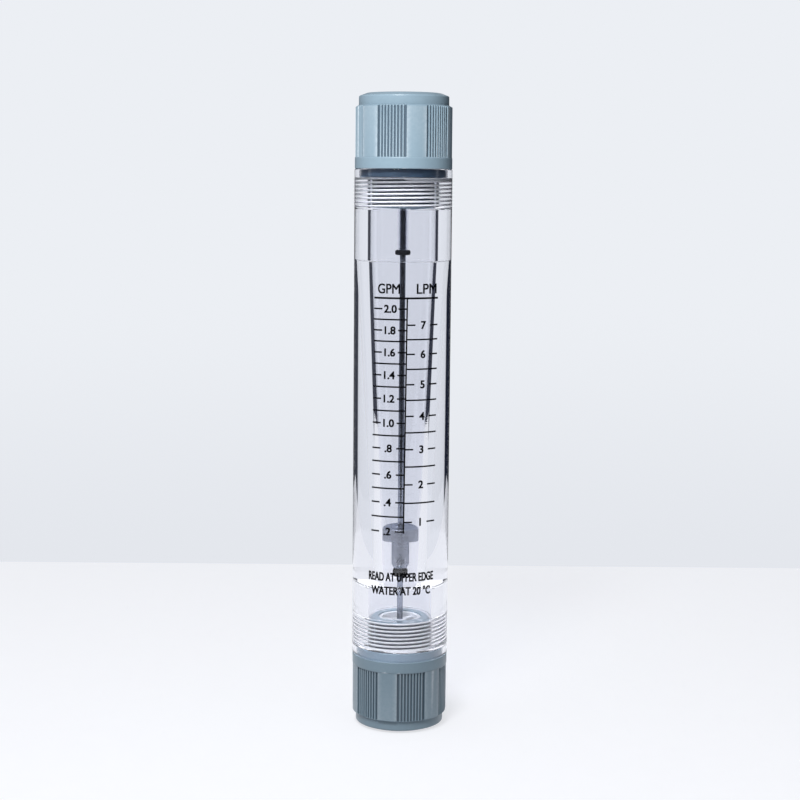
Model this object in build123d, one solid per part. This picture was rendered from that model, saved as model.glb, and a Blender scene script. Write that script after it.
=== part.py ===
from build123d import *

import os
from math import degrees, radians, sqrt, tan

# Variable-area flow meter: a clear acrylic tube with a tapered bore stands between two screwed
# pipe fittings. Flow from below lifts the float up its rod, and the scale is read at its top edge.
# The origin is the middle of the base, +Z is up and the scale faces -Y. All sizes are in millimetres.

# Clear tube
tube_radius = 19.0
tube_length = 192.0
tube_edge_chamfer = 0.4
mouth_wall = 1.65
mouth_depth = 3.7
counterbore_radius = 12.7
lower_counterbore_depth = 28.5
upper_counterbore_depth = 35.5
bore_foot_radius = 6.8
bore_top_radius = 12.1

# Thread between tube and fittings, M27 x 1.5, held here as a plain bore and a plain spigot
thread_radius = 13.5
thread_pitch = 1.5
thread_turns = 8
thread_clearance = 0.1

# Screwed fitting, one moulding used at both ends, described from its outer end
lip_setback = 1.3
lip_length = 4.6
end_chamfer_height = 1.2
end_chamfer_width = 3.2
pad_count = 6
pad_angle = 24.5
pad_setback = 0.15
panel_depth = 0.8
panel_length = 19.9
pad_end_chamfer = 0.8
ribs_per_panel = 8
rib_height = 0.62
rib_share = 0.5
ring_setback = 0.1
ring_length = 4.4
collar_clearance = 0.15
collar_gap = 0.4
spigot_reach = 15.2
spigot_chamfer_height = 1.0
spigot_end_radius = 11.3
pipe_socket_radius = 10.1
pipe_socket_depth = 22.0
pipe_socket_chamfer = 0.6
flow_bore_radius = 7.5
lower_panel_azimuth = 15.0
upper_panel_azimuth = -14.6

# Face seal in the collar
seal_section_radius = 0.93
seal_section_sides = 8
seal_seat_gap = 0.02
seal_groove_slack = 0.1

# Rod holder, a spider pressed into the tip of each fitting
holder_seat_radius = 8.5
holder_seat_depth = 3.0
holder_fit_gap = 0.05
holder_ring_width = 1.6
holder_ring_height = 2.6
holder_web_height = 1.5
holder_hub_radius = 2.6
holder_hub_drop = 1.5
holder_spoke_count = 3
holder_spoke_width = 1.7
rod_hole_depth = 2.2

# Guide rod, its rubber rings and its spacer sleeve
rod_radius = 1.15
rod_end_gap = 0.1
rod_side_gap = 0.05
stop_ring_width = 1.85
lower_stop_ring_height = 3.0
upper_stop_ring_height = 2.0
lower_stop_ring_rise = 3.05
upper_stop_ring_rise = 2.2
stop_ring_chamfer = 0.55
ring_grip_gap = 0.02
sleeve_wall = 0.8
sleeve_bore_gap = 0.1
sleeve_end_gap = 0.05

# Float
float_rest_gap = 0.02
float_disc_radius = 7.2
float_disc_height = 4.8
float_disc_round = 0.3
float_stem_radius = 3.5
float_stem_length = 9.9
float_foot_chamfer_height = 2.0
float_foot_chamfer_width = 1.1
float_bore_gap = 0.1
float_sink_radius = 2.0
float_sink_depth = 0.75

# Printed scale, where flow is proportional to the ring between float and bore
litres_per_gallon = 3.785
full_flow_litres = 7.57
full_flow_bore_radius = 11.37
reading_edge_growth = 0.084
ink_thickness = 0.1
ink_gap = 0.06
ink_stroke = 0.6
ink_heading_stroke = 0.75
ink_join_gap = 0.03
scale_middle_azimuth = 4.3
scale_lean = 0.485
scale_half_span = 40.0
gallon_dash_outer = 10.5
gallon_dash_inner = 8.5
litre_dash_outer = 10.0
litre_dash_inner = 9.0
heading_rise = 4.1
divider_drop = 0.6
gallon_tenths = range(2, 21)
litre_halves = range(2, 15)

# Heights along the axis that follow from the sizes above
head_length = lip_length + panel_length + ring_length
fitting_length = head_length + spigot_reach
total_height = tube_length + 2 * head_length
tube_foot = head_length
tube_top = tube_foot + tube_length
bore_foot = tube_foot + lower_counterbore_depth
bore_top = tube_top - upper_counterbore_depth
scale_middle_height = (bore_foot + bore_top) / 2
lower_stop_ring_base = bore_foot + lower_stop_ring_rise
upper_stop_ring_base = bore_top + upper_stop_ring_rise

# Radii that follow from the sizes above
mouth_radius = tube_radius - mouth_wall
ring_radius = tube_radius - ring_setback
pad_radius = ring_radius - pad_setback
lip_radius = pad_radius - lip_setback
panel_floor_radius = pad_radius - panel_depth
collar_radius = mouth_radius - collar_clearance
collar_length = mouth_depth - collar_gap
spigot_radius = thread_radius - thread_clearance
seal_radius = spigot_radius + seal_groove_slack + seal_section_radius
seal_groove_radius = seal_radius + seal_section_radius + seal_groove_slack
seal_groove_depth = 2 * (seal_section_radius + seal_seat_gap) - collar_gap
holder_radius = holder_seat_radius - holder_fit_gap
rod_hole_radius = rod_radius + rod_side_gap

# Heights of the holder in the fitting, from the fitting's outer end
holder_seat = fitting_length - holder_seat_depth
holder_foot = holder_seat + holder_fit_gap
hub_top = holder_foot + holder_web_height
hub_foot = holder_foot - holder_hub_drop
rod_foot = hub_top - rod_hole_depth + rod_end_gap
sleeve_top = total_height - hub_top - sleeve_end_gap


def turned(*points):
    """A solid turned about the Z axis from (radius, height) points."""
    outline = Plane.XZ * Polyline(*points, close=True)
    return revolve(make_face(outline), Axis.Z)


def pipe(outer_radius, inner_radius, foot, top):
    """A plain hollow cylinder on the Z axis."""
    return turned((inner_radius, foot), (outer_radius, foot), (outer_radius, top), (inner_radius, top))


def metering_tube():
    """The clear body: a tapered bore between two stepped and threaded ends."""
    thread_length = thread_turns * thread_pitch
    return turned(
        (mouth_radius, tube_foot),
        (tube_radius - tube_edge_chamfer, tube_foot),
        (tube_radius, tube_foot + tube_edge_chamfer),
        (tube_radius, tube_top - tube_edge_chamfer),
        (tube_radius - tube_edge_chamfer, tube_top),
        (mouth_radius, tube_top),
        (mouth_radius, tube_top - mouth_depth),
        (thread_radius, tube_top - mouth_depth),
        (thread_radius, tube_top - mouth_depth - thread_length),
        (counterbore_radius, tube_top - mouth_depth - thread_length),
        (counterbore_radius, bore_top),
        (bore_top_radius, bore_top),
        (bore_foot_radius, bore_foot),
        (counterbore_radius, bore_foot),
        (counterbore_radius, tube_foot + mouth_depth + thread_length),
        (thread_radius, tube_foot + mouth_depth + thread_length),
        (thread_radius, tube_foot + mouth_depth),
        (mouth_radius, tube_foot + mouth_depth),
    )


def grip_outline():
    """Section of the grip band: smooth pads with ribbed panels between them."""
    step = 360 / pad_count
    panel_angle = step - pad_angle
    outline = Circle(panel_floor_radius)
    pad_reach = pad_radius * 2
    for pad in range(pad_count):
        middle = (pad + 0.5) * step
        edges = [Vector(pad_reach, 0).rotate(Axis.Z, middle + side * pad_angle / 2) for side in (-1, 1)]
        wedge = make_face(Polyline((0, 0), edges[0], edges[1], close=True))
        outline += Circle(pad_radius) & wedge
    rib_pitch = panel_angle / (ribs_per_panel + 1)
    rib_width = panel_floor_radius * rib_share * radians(rib_pitch)
    rib_root = panel_floor_radius / 2
    rib_tip = panel_floor_radius + rib_height
    for panel in range(pad_count):
        for rib in range(ribs_per_panel):
            angle = panel * step + (rib - (ribs_per_panel - 1) / 2) * rib_pitch
            bar = Pos((rib_root + rib_tip) / 2, 0) * Rectangle(rib_tip - rib_root, rib_width)
            outline += Rot(0, 0, angle) * bar
    return outline


def fitting():
    """One screwed fitting with its outer end on the XY plane and a panel facing +X."""
    band_top = lip_length + panel_length
    grip = Pos(0, 0, lip_length) * extrude(grip_outline(), panel_length)
    envelope = turned(
        (0, lip_length),
        (lip_radius, lip_length),
        (pad_radius, lip_length + pad_end_chamfer),
        (pad_radius, band_top),
        (0, band_top),
    )
    core = turned(
        (0, 0),
        (lip_radius - end_chamfer_width, 0),
        (lip_radius, end_chamfer_height),
        (lip_radius, band_top),
        (ring_radius, band_top),
        (ring_radius, head_length),
        (collar_radius, head_length),
        (collar_radius, head_length + collar_length),
        (spigot_radius, head_length + collar_length),
        (spigot_radius, fitting_length - spigot_chamfer_height),
        (spigot_end_radius, fitting_length),
        (0, fitting_length),
    )
    flow_way = turned(
        (0, 0),
        (pipe_socket_radius + pipe_socket_chamfer, 0),
        (pipe_socket_radius, pipe_socket_chamfer),
        (pipe_socket_radius, pipe_socket_depth),
        (flow_bore_radius, pipe_socket_depth),
        (flow_bore_radius, holder_seat),
        (holder_seat_radius, holder_seat),
        (holder_seat_radius, fitting_length),
        (0, fitting_length),
    )
    collar_face = head_length + collar_length
    groove = pipe(seal_groove_radius, spigot_radius, collar_face - seal_groove_depth, collar_face)
    return core + (grip & envelope) - flow_way - groove


def seal():
    """Face seal of a fitting that has its outer end on the XY plane."""
    height = head_length + mouth_depth - seal_seat_gap - seal_section_radius
    section = RegularPolygon(seal_section_radius, seal_section_sides)
    return revolve(Plane.XZ * Pos(seal_radius, height) * section, Axis.Z)


def holder():
    """Spider that centres the rod in a fitting that has its outer end on the XY plane."""
    ring_inner = holder_radius - holder_ring_width
    spider = pipe(holder_radius, ring_inner, holder_foot, holder_foot + holder_ring_height)
    spoke_reach = holder_radius - holder_ring_width / 2
    for spoke in range(holder_spoke_count):
        bar = Box(spoke_reach, holder_spoke_width, holder_web_height)
        placed = Pos(spoke_reach / 2, 0, holder_foot + holder_web_height / 2) * bar
        spider += Rot(0, 0, spoke * 360 / holder_spoke_count) * placed
    hub_height = hub_top - hub_foot
    spider += Pos(0, 0, hub_foot + hub_height / 2) * Cylinder(holder_hub_radius, hub_height)
    hole = Pos(0, 0, hub_top - rod_hole_depth / 2) * Cylinder(rod_hole_radius, rod_hole_depth)
    return spider - hole


def at_bottom(piece):
    """Place a piece of the fitting at the meter's lower end."""
    return Rot(0, 0, lower_panel_azimuth - 90) * piece


def at_top(piece):
    """Turn a piece of the fitting over and place it at the meter's upper end."""
    return Pos(0, 0, total_height) * Rot(0, 0, upper_panel_azimuth - 90) * Rot(180, 0, 0) * piece


def guide_rod():
    """The steel rod, held at both ends in the holders."""
    length = total_height - 2 * rod_foot
    return Pos(0, 0, total_height / 2) * Cylinder(rod_radius, length)


def stop_ring(base, height):
    """A rubber ring that grips the rod."""
    inner = rod_radius + ring_grip_gap
    outer = inner + stop_ring_width
    return turned(
        (inner + stop_ring_chamfer, base),
        (outer - stop_ring_chamfer, base),
        (outer, base + stop_ring_chamfer),
        (outer, base + height - stop_ring_chamfer),
        (outer - stop_ring_chamfer, base + height),
        (inner + stop_ring_chamfer, base + height),
        (inner, base + height - stop_ring_chamfer),
        (inner, base + stop_ring_chamfer),
    )


def rod_sleeve():
    """The clear spacer between the upper stop ring and the upper holder."""
    inner = rod_radius + sleeve_bore_gap
    foot = upper_stop_ring_base + upper_stop_ring_height + sleeve_end_gap
    return pipe(inner + sleeve_wall, inner, foot, sleeve_top)


def float_body():
    """The turned float, a disc on a stem, resting on the lower stop ring."""
    inner = rod_radius + float_bore_gap
    foot = lower_stop_ring_base + lower_stop_ring_height + float_rest_gap
    disc_foot = foot + float_foot_chamfer_height + float_stem_length
    disc_top = disc_foot + float_disc_height
    return turned(
        (inner, foot),
        (float_stem_radius - float_foot_chamfer_width, foot),
        (float_stem_radius, foot + float_foot_chamfer_height),
        (float_stem_radius, disc_foot),
        (float_disc_radius - float_disc_round, disc_foot),
        (float_disc_radius, disc_foot + float_disc_round),
        (float_disc_radius, disc_top - float_disc_round),
        (float_disc_radius - float_disc_round, disc_top),
        (float_sink_radius, disc_top),
        (inner, disc_top - float_sink_depth),
    )


def reading_height(litres):
    """Height of the float's top edge at a flow, from the taper of the bore."""
    taper = (bore_top_radius - bore_foot_radius) / (bore_top - bore_foot)
    edge = float_disc_radius + reading_edge_growth
    flow_share = litres / full_flow_litres
    bore_radius = sqrt(edge**2 + flow_share * (full_flow_bore_radius**2 - edge**2))
    return bore_foot + (bore_radius - bore_foot_radius) / taper


def divider_azimuth(height):
    """Azimuth of the scale's middle line, which is printed slightly askew."""
    drift = tan(radians(scale_lean)) * (height - scale_middle_height)
    return scale_middle_azimuth + degrees(drift / tube_radius)


def ink_bar(height, start, end, stroke=ink_stroke):
    """A printed line round the tube between two azimuths counted from the middle line."""
    middle = tube_radius + ink_gap + ink_thickness / 2
    section = Plane.XZ * Pos(middle, height) * Rectangle(ink_thickness, stroke)
    bar = revolve(section, Axis.Z, revolution_arc=end - start)
    return Rot(0, 0, divider_azimuth(height) + start - 90) * bar


def divider_line(low, high):
    """The printed upright line between the two columns."""
    middle = (low + high) / 2
    bar = Box(ink_thickness, ink_stroke, high - low)
    reach = tube_radius + ink_gap + ink_thickness / 2
    leaning = Pos(reach, 0, middle) * Rot(-scale_lean, 0, 0) * bar
    return Rot(0, 0, divider_azimuth(middle) - 90) * leaning


def scale_graduations():
    """Every printed line of the scale, as separate solids of one print."""
    join = degrees((ink_stroke / 2 + ink_join_gap) / tube_radius)
    bars = []
    for tenths in gallon_tenths:
        height = reading_height(tenths / 10 * litres_per_gallon)
        if tenths % 2:
            bars.append(ink_bar(height, -scale_half_span, -join))
        else:
            bars.append(ink_bar(height, -scale_half_span, gallon_dash_outer - scale_half_span))
            bars.append(ink_bar(height, -gallon_dash_inner, -join))
    for halves in litre_halves:
        height = reading_height(halves / 2)
        if halves % 2:
            bars.append(ink_bar(height, join, scale_half_span))
        else:
            bars.append(ink_bar(height, join, litre_dash_inner))
            bars.append(ink_bar(height, scale_half_span - litre_dash_outer, scale_half_span))
    heading = reading_height(gallon_tenths[-1] / 10 * litres_per_gallon) + heading_rise
    lowest = reading_height(gallon_tenths[0] / 10 * litres_per_gallon) - divider_drop
    bars.append(ink_bar(heading, -scale_half_span, scale_half_span, ink_heading_stroke))
    bars.append(divider_line(lowest, heading - ink_heading_stroke))
    return Compound(bars)


pieces = {
    "metering_tube": metering_tube(),
    "scale_graduations": scale_graduations(),
    "guide_rod": guide_rod(),
    "float": float_body(),
    "lower_stop_ring": stop_ring(lower_stop_ring_base, lower_stop_ring_height),
    "upper_stop_ring": stop_ring(upper_stop_ring_base, upper_stop_ring_height),
    "rod_sleeve": rod_sleeve(),
    "upper_holder": at_top(holder()),
    "lower_holder": at_bottom(holder()),
    "upper_fitting": at_top(fitting()),
    "lower_fitting": at_bottom(fitting()),
    "upper_o_ring": at_top(seal()),
    "lower_o_ring": at_bottom(seal()),
}

os.makedirs("parts", exist_ok=True)
for name, piece in pieces.items():
    export_step(piece, f"parts/{name}.step")
    print(name, len(piece.solids()), "solids,", round(piece.volume, 1), "mm3")
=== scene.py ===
# %% [markdown]
# # A flow meter in Blender
#
# The real object is a variable-area flow meter. Water enters at the foot of a clear acrylic tube whose
# bore widens towards the top, and lifts a metal float up a steel rod until the ring of space round it is
# wide enough for the flow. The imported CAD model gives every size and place, so this lesson starts by
# loading it. Its pieces are then made again as finer meshes, because thread, rounded edges and print are
# what make clear plastic look real.

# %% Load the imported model
from math import cos, degrees, pi, radians, sin, sqrt, tan

import bmesh
import bpy
from mathutils import Matrix, Vector

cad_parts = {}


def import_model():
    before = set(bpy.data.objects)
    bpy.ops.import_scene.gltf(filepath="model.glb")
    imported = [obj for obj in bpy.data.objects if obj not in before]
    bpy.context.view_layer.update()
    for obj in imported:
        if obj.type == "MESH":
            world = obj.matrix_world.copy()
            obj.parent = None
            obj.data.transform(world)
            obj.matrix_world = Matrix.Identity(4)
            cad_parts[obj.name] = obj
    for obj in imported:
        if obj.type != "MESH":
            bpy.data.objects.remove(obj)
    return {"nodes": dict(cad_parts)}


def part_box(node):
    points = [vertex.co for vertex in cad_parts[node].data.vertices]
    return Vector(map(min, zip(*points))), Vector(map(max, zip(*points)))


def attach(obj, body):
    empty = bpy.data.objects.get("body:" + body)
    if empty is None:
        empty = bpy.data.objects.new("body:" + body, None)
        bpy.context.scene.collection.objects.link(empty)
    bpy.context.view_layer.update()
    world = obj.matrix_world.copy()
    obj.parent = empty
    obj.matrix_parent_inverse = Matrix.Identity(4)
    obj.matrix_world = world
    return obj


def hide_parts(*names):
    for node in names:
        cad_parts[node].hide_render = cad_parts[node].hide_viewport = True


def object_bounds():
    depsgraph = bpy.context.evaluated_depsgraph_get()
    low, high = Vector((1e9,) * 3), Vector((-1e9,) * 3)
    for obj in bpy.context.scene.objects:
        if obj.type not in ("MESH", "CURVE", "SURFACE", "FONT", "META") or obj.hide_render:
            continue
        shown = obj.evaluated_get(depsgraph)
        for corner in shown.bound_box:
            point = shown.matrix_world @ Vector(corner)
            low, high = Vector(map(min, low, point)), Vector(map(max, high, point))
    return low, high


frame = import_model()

cad_box = [list(corner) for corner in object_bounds()]
MM = 0.001
scene = bpy.context.scene


def heights(node):
    """Lowest and highest height of a CAD node in millimetres."""
    low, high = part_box(node)
    return low.z / MM, high.z / MM


def placed(name, data):
    """A new object in the scene that shows the data."""
    thing = bpy.data.objects.new(name, data)
    scene.collection.objects.link(thing)
    return thing


print("CAD box", cad_box)
print("nodes", sorted(frame["nodes"]))

# %% [markdown]
# ## Camera
#
# The camera was worked out from the edges of the tube, the steps and the scale lines in the photograph.
# It stands two thirds of a metre in front of the meter, level with the top of the upper thread, and looks
# down by seven degrees. A very small roll leans the meter as in the photograph. It is set as one matrix:
# first the roll about its own axis, then the pitch, then the place.

# %% Camera
SENSOR_WIDTH = 36.0
FOCAL_LENGTH = 77.787
CAMERA_PLACE = (-0.634 * MM, -676.88 * MM, 216.62 * MM)
CAMERA_PITCH = 7.256
CAMERA_ROLL = 0.4766

camera_data = bpy.data.cameras.new("camera")
camera_data.sensor_width = SENSOR_WIDTH
camera_data.lens = FOCAL_LENGTH
camera = placed("camera", camera_data)
pitch = Matrix.Rotation(radians(90 - CAMERA_PITCH), 4, "X")
roll = Matrix.Rotation(radians(CAMERA_ROLL), 4, "Z")
camera.matrix_world = Matrix.Translation(CAMERA_PLACE) @ pitch @ roll
scene.camera = camera
print("camera at", [round(value, 4) for value in camera.location])

# %% [markdown]
# ## Helpers for turned pieces
#
# Nearly every piece of this meter is turned or moulded round one axis, so it could be made with the Spin
# tool or the Screw modifier. Here a small function joins columns of points instead, because the same
# function can then also carry a thread, whose height changes from column to column. Corners are rounded
# in the outline before it is turned: a tenth of a millimetre of rounding is enough to catch the light.
# A point is held close beside each rounded corner, so that the long wall next to it keeps its true normal
# and clear plastic doesn't show a false bend there.

# %% Rounded outlines and turned meshes
CORNER_ROUND = 0.12
ROUND_STEPS = 3
HOLD = 0.05
LONG_WALL = 3
LONGEST_CUT = 0.45
SHORTEST_CUT = 0.005
SHARP_ANGLE = 38
MERGE_DISTANCE = 0.0005 * MM


def rounded(points, closed=True):
    """The outline with its corners rounded. A third value in a point is that corner's own radius."""
    result = []
    count = len(points)
    for index, point in enumerate(points):
        here = Vector(point[:2])
        if not closed and index in (0, count - 1):
            result.append(tuple(here))
            continue
        before = Vector(points[index - 1][:2]) - here
        after = Vector(points[(index + 1) % count][:2]) - here
        radius = point[2] if len(point) > 2 else CORNER_ROUND
        cut = min(radius, LONGEST_CUT * before.length, LONGEST_CUT * after.length)
        if cut < SHORTEST_CUT:
            result.append(tuple(here))
            continue
        start = here + before.normalized() * cut
        end = here + after.normalized() * cut
        if before.length > LONG_WALL * (cut + HOLD):
            result.append(tuple(start + before.normalized() * HOLD))
        for step in range(ROUND_STEPS + 1):
            share = step / ROUND_STEPS
            bend = start.lerp(here, share).lerp(here.lerp(end, share), share)
            result.append(tuple(bend))
        if after.length > LONG_WALL * (cut + HOLD):
            result.append(tuple(end + after.normalized() * HOLD))
    return result


def join_columns(columns):
    """A closed mesh from columns of (x, y, z) points in millimetres, the last one lying on the first."""
    made = bmesh.new()
    grid = [[made.verts.new(Vector(point) * MM) for point in column] for column in columns]
    rows = len(columns[0])
    for left, right in zip(grid, grid[1:]):
        for row in range(rows):
            above = (row + 1) % rows
            made.faces.new((left[row], right[row], right[above], left[above]))
    bmesh.ops.remove_doubles(made, verts=made.verts, dist=MERGE_DISTANCE)
    bmesh.ops.recalc_face_normals(made, faces=made.faces)
    return made


def wrapped(rows, angle):
    """A column of (x, y, z) points from (radius, height) rows, at an angle in degrees."""
    turn = radians(angle)
    return [(radius * cos(turn), radius * sin(turn), height) for radius, height in rows]


def turned(outline, column_count=128):
    """A closed mesh turned about the Z axis from (radius, height) points."""
    step = 360 / column_count
    return join_columns([wrapped(outline, index * step) for index in range(column_count + 1)])


def piece(name, made, body, nodes):
    """A Blender object from a bmesh that rides on a body and stands for CAD nodes."""
    mesh = bpy.data.meshes.new(name)
    made.to_mesh(mesh)
    made.free()
    mesh.shade_smooth()
    mesh.set_sharp_from_angle(angle=radians(SHARP_ANGLE))
    thing = placed(name, mesh)
    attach(thing, body)
    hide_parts(*nodes)
    print(name, "has", len(mesh.polygons), "faces")
    return thing


square = [(0, 0), (2, 0), (2, 2), (0, 2)]
print("a square with rounded corners has", len(rounded(square)), "points")

# %% [markdown]
# ## Thread
#
# The tube and its fittings screw together with an M27 x 1.5 thread. The CAD model holds it as plain
# cylinders, and this helper gives it back. A thread is a row of points that climbs by one pitch for each
# turn. Every column gets the same rows, clamped between the two ends of the thread, and the points that
# fall together there are merged. A limit function trims crests and roots, as the lead-in of a tap does.
# The spigot's thread is smaller than a real one. Its crests stay inside the tube's, so that the two are
# never seen to cut into each other.

# %% Thread rows
PITCH = 1.5
MAJOR_RADIUS = 13.5
MINOR_RADIUS = 12.9
MALE_ROOT_RADIUS = 12.2
MALE_CREST_RADIUS = 12.6
CREST_SHARE = 0.46
ROOT_SHARE = 0.125
FLANK_SHARE = (1 - CREST_SHARE - ROOT_SHARE) / 2
FRONT_SHARE = 0.75
SPARE_WINDINGS = 4
LOWER_LINE_HEIGHT = 33.66
UPPER_LINE_HEIGHT = 207.57


def thread_rows(turn, foot, top, line_height, inner, outer, limit):
    """(radius, height) points up a thread at a share of a turn, from foot to top.

    line_height is the height of one inner flat's middle at the front of the meter."""
    corners = (
        (-CREST_SHARE / 2, inner),
        (CREST_SHARE / 2, inner),
        (CREST_SHARE / 2 + FLANK_SHARE, outer),
        (CREST_SHARE / 2 + FLANK_SHARE + ROOT_SHARE, outer),
    )
    start = line_height + (turn - FRONT_SHARE) * PITCH
    first = int((foot - line_height) / PITCH) - SPARE_WINDINGS
    last = int((top - line_height) / PITCH) + SPARE_WINDINGS
    rows = []
    for winding in range(first, last):
        for share, radius in corners:
            height = min(max(start + (winding + share) * PITCH, foot), top)
            rows.append((limit(radius, height), height))
    return rows


print("thread depth", round(MAJOR_RADIUS - MINOR_RADIUS, 3), "mm")

# %% [markdown]
# ## Clear tube
#
# The tube is cast acrylic, 38 mm across, bored to a taper and polished. Its outer wall is one plain
# cylinder, so everything that one sees in it comes from the surfaces inside: the taper, the steps at its
# two ends, the screwed lengths and the wide mouth that the fitting's collar enters. They have to be real
# geometry, because clear material bends the light at each of them. Many columns keep the walls smooth.

# %% Clear tube
TUBE_RADIUS = 19.0
TUBE_EDGE = 0.4
MOUTH_RADIUS = 17.35
MOUTH_DEPTH = 3.7
THREAD_LENGTH = 12.0
COUNTERBORE_RADIUS = 12.7
LOWER_COUNTERBORE = 28.5
UPPER_COUNTERBORE = 35.5
BORE_FOOT_RADIUS = 6.8
BORE_TOP_RADIUS = 12.1
TUBE_COLUMNS = 256
COUNTERSINK = 0.15
COUNTERSINK_SLOPE = 2.5
RUNOUT_LENGTH = 1.2

tube_foot, tube_top = heights("metering_tube")
total_height = cad_box[1][2] / MM
bore_foot = tube_foot + LOWER_COUNTERBORE
bore_top = tube_top - UPPER_COUNTERBORE


def female_limit(mouth, inner_end):
    """Countersink at the mouth of a tapped length and a run-out at its inner end."""

    def limit(radius, height):
        run_out = COUNTERBORE_RADIUS + abs(height - inner_end) / RUNOUT_LENGTH
        lead_in = MAJOR_RADIUS + COUNTERSINK - abs(height - mouth) * COUNTERSINK_SLOPE
        return max(min(radius, run_out), lead_in, COUNTERBORE_RADIUS)

    return limit


def tube_rows(turn):
    """The whole outline of the tube at a share of a turn."""
    lower_mouth = tube_foot + MOUTH_DEPTH
    upper_mouth = tube_top - MOUTH_DEPTH
    lower_end = lower_mouth + THREAD_LENGTH
    upper_end = upper_mouth - THREAD_LENGTH
    outside = rounded([
        (MAJOR_RADIUS + COUNTERSINK, lower_mouth),
        (MOUTH_RADIUS, lower_mouth, 0.25),
        (MOUTH_RADIUS, tube_foot),
        (TUBE_RADIUS - TUBE_EDGE, tube_foot),
        (TUBE_RADIUS, tube_foot + TUBE_EDGE),
        (TUBE_RADIUS, tube_top - TUBE_EDGE),
        (TUBE_RADIUS - TUBE_EDGE, tube_top),
        (MOUTH_RADIUS, tube_top),
        (MOUTH_RADIUS, upper_mouth, 0.25),
        (MAJOR_RADIUS + COUNTERSINK, upper_mouth),
    ], closed=False)
    inside = rounded([
        (COUNTERBORE_RADIUS, upper_end),
        (COUNTERBORE_RADIUS, upper_end - 2 * HOLD),
        (COUNTERBORE_RADIUS, upper_end - 4 * HOLD),
        (COUNTERBORE_RADIUS, bore_top, 0.3),
        (BORE_TOP_RADIUS, bore_top, 0.2),
        (BORE_FOOT_RADIUS, bore_foot, 0.3),
        (COUNTERBORE_RADIUS, bore_foot, 0.8),
        (COUNTERBORE_RADIUS, lower_end + 4 * HOLD),
        (COUNTERBORE_RADIUS, lower_end + 2 * HOLD),
        (COUNTERBORE_RADIUS, lower_end),
    ], closed=False)
    upper = thread_rows(turn, upper_end, upper_mouth, UPPER_LINE_HEIGHT, MINOR_RADIUS, MAJOR_RADIUS,
                        female_limit(upper_mouth, upper_end))
    lower = thread_rows(turn, lower_mouth, lower_end, LOWER_LINE_HEIGHT, MINOR_RADIUS, MAJOR_RADIUS,
                        female_limit(lower_mouth, lower_end))
    return outside + upper[::-1] + inside + lower[::-1]


shares = [index / TUBE_COLUMNS for index in range(TUBE_COLUMNS + 1)]
tube_mesh = join_columns([wrapped(tube_rows(share), 360 * share) for share in shares])
piece("clear_tube", tube_mesh, "meter_body", ["metering_tube"])

# %% [markdown]
# ## Screwed fittings
#
# Each end is a grey moulding: a chamfered lip, a grip band of six smooth pads with ribbed panels between
# them, a plain ring, then a collar and a screwed spigot that hide inside the tube. It could be cut with
# booleans, but those leave ragged faces. Here the band's section is walked once round as a list of angle
# and radius, with round ribs and soft pad corners, and every other height uses the same angles, so the
# whole fitting is one clean grid.

# %% Outline of the grip band
PAD_COUNT = 6
PAD_ANGLE = 24.5
PAD_RADIUS = 18.75
PANEL_RADIUS = 17.95
RIBS_PER_PANEL = 8
RIB_HEIGHT = 0.62
RIB_SHARE = 0.56
PAD_CORNER_ANGLE = 0.35
PAD_ARC_STEPS = 8
RIB_SECTION = ((-0.5, 0.0), (-0.44, 0.6), (-0.33, 0.9), (-0.16, 1.0),
               (0.16, 1.0), (0.33, 0.9), (0.44, 0.6), (0.5, 0.0))
PAD_CORNER = ((0.0, 0.0), (0.15, 0.75), (0.45, 0.94), (1.0, 1.0))

sector = 360 / PAD_COUNT
panel_angle = sector - PAD_ANGLE
rib_pitch = panel_angle / (RIBS_PER_PANEL + 1)


def sector_outline():
    """(angle, radius) points over one panel and the pad after it."""
    points = []
    for rib in range(RIBS_PER_PANEL):
        middle = (rib - (RIBS_PER_PANEL - 1) / 2) * rib_pitch
        for across, up in RIB_SECTION:
            points.append((middle + across * RIB_SHARE * rib_pitch, PANEL_RADIUS + up * RIB_HEIGHT))
    edge = panel_angle / 2
    step_up = PAD_RADIUS - PANEL_RADIUS
    for across, up in PAD_CORNER:
        points.append((edge + across * PAD_CORNER_ANGLE, PANEL_RADIUS + up * step_up))
    for step in range(1, PAD_ARC_STEPS):
        across = PAD_CORNER_ANGLE + (PAD_ANGLE - 2 * PAD_CORNER_ANGLE) * step / PAD_ARC_STEPS
        points.append((edge + across, PAD_RADIUS))
    for across, up in reversed(PAD_CORNER):
        points.append((edge + PAD_ANGLE - across * PAD_CORNER_ANGLE, PANEL_RADIUS + up * step_up))
    return points


band_sector = sector_outline()
print("points round one fitting:", len(band_sector) * PAD_COUNT)

# %% [markdown]
# The heights of the fitting are listed from its outer end inwards, so the same list serves both ends:
# for the upper one the heights are counted down from the top. Where the band starts, a cone trims pads
# and ribs together, which gives each of them the chamfered end that shines in the photograph.

# %% Fittings
LIP_RADIUS = 17.45
LIP_LENGTH = 4.6
END_CHAMFER = (3.2, 1.2)
PAD_END_CHAMFER = 0.8
BAND_TOP = 24.5
RING_RADIUS = 18.9
HEAD_LENGTH = 28.9
COLLAR_RADIUS = 17.2
COLLAR_LENGTH = 3.3
GROOVE_RADIUS = 15.46
GROOVE_DEPTH = 1.5
FITTING_LENGTH = 44.1
SPIGOT_CHAMFER = 1.0
SPIGOT_END_RADIUS = 11.3
SOCKET_RADIUS = 10.1
SOCKET_DEPTH = 22.0
SOCKET_CHAMFER = 0.6
FLOW_RADIUS = 7.5
HOLDER_SEAT_RADIUS = 8.5
HOLDER_SEAT_DEPTH = 3.0
LOWER_PANEL_AZIMUTH = 15.0
UPPER_PANEL_AZIMUTH = -14.6
BAND_FOOT_STEPS = (0.0, 0.385, 0.6, 0.78, 0.86, 0.95, 1.0)
RING_EDGE = 0.9
LIP_SEAM = 0.02
BAND_SEAM = 0.05
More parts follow.
